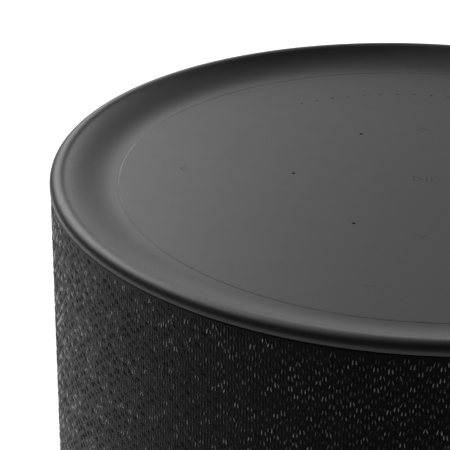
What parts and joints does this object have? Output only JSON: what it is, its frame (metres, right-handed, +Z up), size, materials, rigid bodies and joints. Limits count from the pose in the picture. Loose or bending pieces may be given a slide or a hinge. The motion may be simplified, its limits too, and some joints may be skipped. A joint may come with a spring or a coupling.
{
  "type": "smart home hub",
  "caption": "Cylindrical fabric-covered smart home hub and loudspeaker with a dished touch top, microphones and a mains inlet at the back.",
  "frame": {"origin": "on the axis, in the plane that the foot stands on", "axes": "+Z up along the axis, -Y towards the front, +X to the right as seen from the front"},
  "size_m": [0.176, 0.176, 0.2],
  "materials": {
    "rim_grey": "satin dark grey",
    "panel_grey": "satin dark grey",
    "trim_grey": "satin mid grey",
    "knit_fabric": "dark knit with light flecks",
    "black_plastic": "fine moulded texture",
    "rubber": "matte",
    "steel": "plain",
    "brass": "bright",
    "circuit_board": "solder mask",
    "aluminium": "plain",
    "ribbon_film": "polyimide film",
    "cone_paper": "pressed paper",
    "spider_cloth": "resin-dipped cloth",
    "clear_plastic": "frosted"
  },
  "bodies": {
    "housing": {"foot_pad": "rubber", "base_shell": "black_plastic", "base_screw_1": "steel", "base_screw_2": "steel", "base_screw_3": "steel", "power_inlet": "black_plastic", "inlet_pin_left": "brass", "inlet_pin_right": "brass", "control_board": "circuit_board", "power_board": "circuit_board", "transformer": "steel", "bulk_capacitor": "aluminium", "main_board": "circuit_board", "shield_can": "steel", "heat_sink": "aluminium", "antenna_left": "circuit_board", "antenna_right": "circuit_board", "ribbon_cable": "ribbon_film", "cabinet_shell": "black_plastic", "cabinet_lid": "black_plastic", "woofer_frame": "black_plastic", "woofer_motor": "steel", "woofer_surround": "rubber", "woofer_spider": "spider_cloth", "grille_tube": "black_plastic", "fabric_sleeve": "knit_fabric", "top_frame": "black_plastic", "top_rim": "rim_grey", "rim_screw_1": "steel", "rim_screw_2": "steel", "rim_screw_3": "steel", "touch_panel": "panel_grey", "seam_trim": "trim_grey", "touch_board": "circuit_board", "mic_gasket": "rubber", "light_guide": "clear_plastic", "microphone_1": "steel", "microphone_2": "steel", "microphone_3": "steel", "microphone_4": "steel", "microphone_5": "steel", "microphone_6": "steel", "side_driver_frame_1": "black_plastic", "side_driver_motor_1": "steel", "side_driver_surround_1": "rubber", "side_driver_frame_2": "black_plastic", "side_driver_motor_2": "steel", "side_driver_surround_2": "rubber", "side_driver_frame_3": "black_plastic", "side_driver_motor_3": "steel", "side_driver_surround_3": "rubber"},
    "woofer_moving": {"woofer_cone": "cone_paper", "woofer_coil": "aluminium", "woofer_dust_cap": "cone_paper"},
    "reset_button": {"reset_button": "black_plastic"},
    "mute_slider": {"mute_slider": "black_plastic"},
    "side_cone_1": {"side_driver_cone_1": "cone_paper"},
    "side_cone_2": {"side_driver_cone_2": "cone_paper"},
    "side_cone_3": {"side_driver_cone_3": "cone_paper"}
  },
  "joints": [
    {"name": "woofer_travel", "type": "slide", "parent": "housing", "child": "woofer_moving", "axis": [0, 0, 1], "range_m": [-0.004, 0.004], "stiffness_N_per_m": 2000, "deforming": ["woofer_surround", "woofer_spider"]},
    {"name": "side_cone_1_travel", "type": "slide", "parent": "housing", "child": "side_cone_1", "axis": [0, -1, 0], "range_m": [-0.0015, 0.0015], "stiffness_N_per_m": 1500, "deforming": ["side_driver_surround_1"]},
    {"name": "side_cone_2_travel", "type": "slide", "parent": "housing", "child": "side_cone_2", "axis": [0.866, 0.5, 0], "range_m": [-0.0015, 0.0015], "stiffness_N_per_m": 1500, "deforming": ["side_driver_surround_2"]},
    {"name": "side_cone_3_travel", "type": "slide", "parent": "housing", "child": "side_cone_3", "axis": [-0.866, 0.5, 0], "range_m": [-0.0015, 0.0015], "stiffness_N_per_m": 1500, "deforming": ["side_driver_surround_3"]},
    {"name": "reset_press", "type": "slide", "parent": "housing", "child": "reset_button", "axis": [0.2588, -0.9659, 0], "range_m": [0, 0.0008], "stiffness_N_per_m": 1200, "springref_m": -0.0004},
    {"name": "mute_slide", "type": "slide", "parent": "housing", "child": "mute_slider", "axis": [0.9659, -0.2588, 0], "range_m": [0, 0.0025]}
  ]
}
